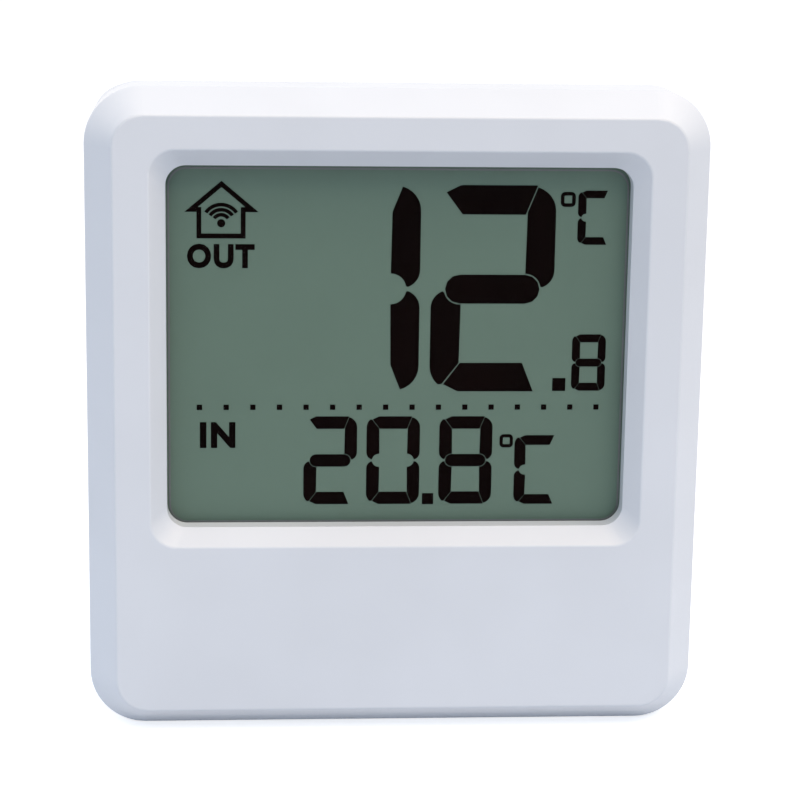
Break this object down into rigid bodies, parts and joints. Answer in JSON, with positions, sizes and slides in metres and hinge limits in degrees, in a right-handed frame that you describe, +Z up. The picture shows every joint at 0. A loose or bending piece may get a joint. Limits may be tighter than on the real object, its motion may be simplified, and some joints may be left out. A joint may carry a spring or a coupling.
{
  "type": "temperature station",
  "caption": "Tabletop indoor and outdoor temperature display in a bevelled square housing with a recessed segment screen, rear buttons, battery bay and fold-out stand.",
  "frame": {"origin": "centre of the footprint, at the height of the flat base", "axes": "+Z up, front of the display looks along -Y, +X to the right seen from the front"},
  "size_m": [0.086, 0.024, 0.0905],
  "materials": {
    "housing_front": "satin silver-white moulded plastic",
    "housing_rear": "fine spark-textured plastic",
    "clear_window": "clear moulded window",
    "display_glass": "thin display glass",
    "display_film": "grey-green display film",
    "silicone_dark": "striped conductive silicone",
    "holder_plastic": "natural moulded plastic",
    "circuit_board": "green solder mask",
    "epoxy_black": "black moulding resin",
    "plated_steel": "nickel plated",
    "capacitor_can": "sleeved can",
    "probe_resin": "dipped resin bead",
    "copper_wire": "plain insulated wire",
    "cell_can": "plain film sleeve",
    "lead_black": "flexible insulation",
    "lead_red": "flexible insulation",
    "foam_dark": "closed-cell foam",
    "button_plastic": "satin grey plastic",
    "silicone_pale": "translucent silicone",
    "screw_steel": "zinc plated"
  },
  "bodies": {
    "root": {"front_housing": "housing_front", "rear_housing": "housing_rear", "display_window": "clear_window", "front_polariser": "display_film", "lcd_front_glass": "display_glass", "lcd_rear_glass": "display_glass", "rear_reflector": "display_film", "elastomer_connector": "silicone_dark", "display_holder": "holder_plastic", "main_board": "circuit_board", "receiver_board": "circuit_board", "controller_blob": "epoxy_black", "receiver_chip": "epoxy_black", "clock_crystal": "plated_steel", "filter_capacitor": "capacitor_can", "temperature_probe": "probe_resin", "pin_header": "epoxy_black", "antenna_wire": "copper_wire", "upper_cell": "cell_can", "lower_cell": "cell_can", "bridge_contact": "plated_steel", "negative_contact": "plated_steel", "positive_contact": "plated_steel", "negative_lead": "lead_black", "positive_lead": "lead_red", "memory_dome": "silicone_pale", "clear_dome": "silicone_pale", "unit_dome": "silicone_pale", "housing_screws": "screw_steel", "board_screws": "screw_steel"},
    "stand": {"folding_stand": "housing_rear"},
    "door": {"battery_door": "housing_rear", "cell_pad": "foam_dark"},
    "memory": {"memory_button": "button_plastic"},
    "clear": {"clear_button": "button_plastic"},
    "unit": {"unit_button": "button_plastic"}
  },
  "joints": [
    {"name": "stand_hinge", "type": "hinge", "parent": "root", "child": "stand", "pos_m": [0, 0.0106, 0.0395], "axis": [1, 0, 0], "range_deg": [0, 40]},
    {"name": "door_hinge", "type": "hinge", "parent": "root", "child": "door", "pos_m": [0, 0.012, 0.04685], "axis": [-1, 0, 0], "range_deg": [0, 75]},
    {"name": "memory_press", "type": "slide", "parent": "root", "child": "memory", "axis": [0, -1, 0], "range_m": [0, 0.001], "stiffness_N_per_m": 1500, "springref_m": -0.0002, "deforming": ["memory_dome"]},
    {"name": "clear_press", "type": "slide", "parent": "root", "child": "clear", "axis": [0, -1, 0], "range_m": [0, 0.001], "stiffness_N_per_m": 1500, "springref_m": -0.0002, "deforming": ["clear_dome"]},
    {"name": "unit_press", "type": "slide", "parent": "root", "child": "unit", "axis": [0, -1, 0], "range_m": [0, 0.001], "stiffness_N_per_m": 1500, "springref_m": -0.0002, "deforming": ["unit_dome"]}
  ]
}
